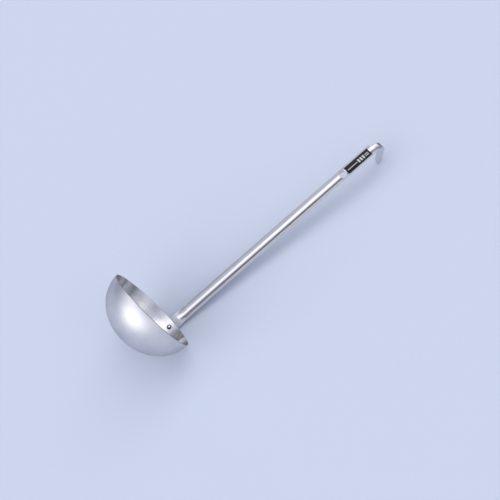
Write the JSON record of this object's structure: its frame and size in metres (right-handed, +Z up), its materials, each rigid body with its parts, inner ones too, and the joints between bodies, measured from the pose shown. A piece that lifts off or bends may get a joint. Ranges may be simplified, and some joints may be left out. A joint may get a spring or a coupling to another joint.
{
  "type": "soup ladle",
  "caption": "Steel serving ladle: a deep round bowl, a grooved strip handle riveted to its outside, a hanging hole, a small label and a bent hook end.",
  "frame": {"origin": "the middle of the footprint of the ladle's box, on the surface it lies on", "axes": "+X along the handle from the bowl to the hook, +Y across the handle, +Z up from the surface; the ladle lies on its back with the groove up"},
  "size_m": [0.3674, 0.106, 0.1054],
  "materials": {
    "bowl_steel": "satin outside, bright inside",
    "handle_steel": "pressed strip, bright groove, satin hook and foot",
    "rivet_steel": "polished dome",
    "label_film": "glossy black film with plain silver bars"
  },
  "bodies": {
    "root": {"bowl": "bowl_steel", "handle": "handle_steel", "rivet_upper": "rivet_steel", "rivet_lower": "rivet_steel", "label": "label_film"}
  },
  "joints": []
}
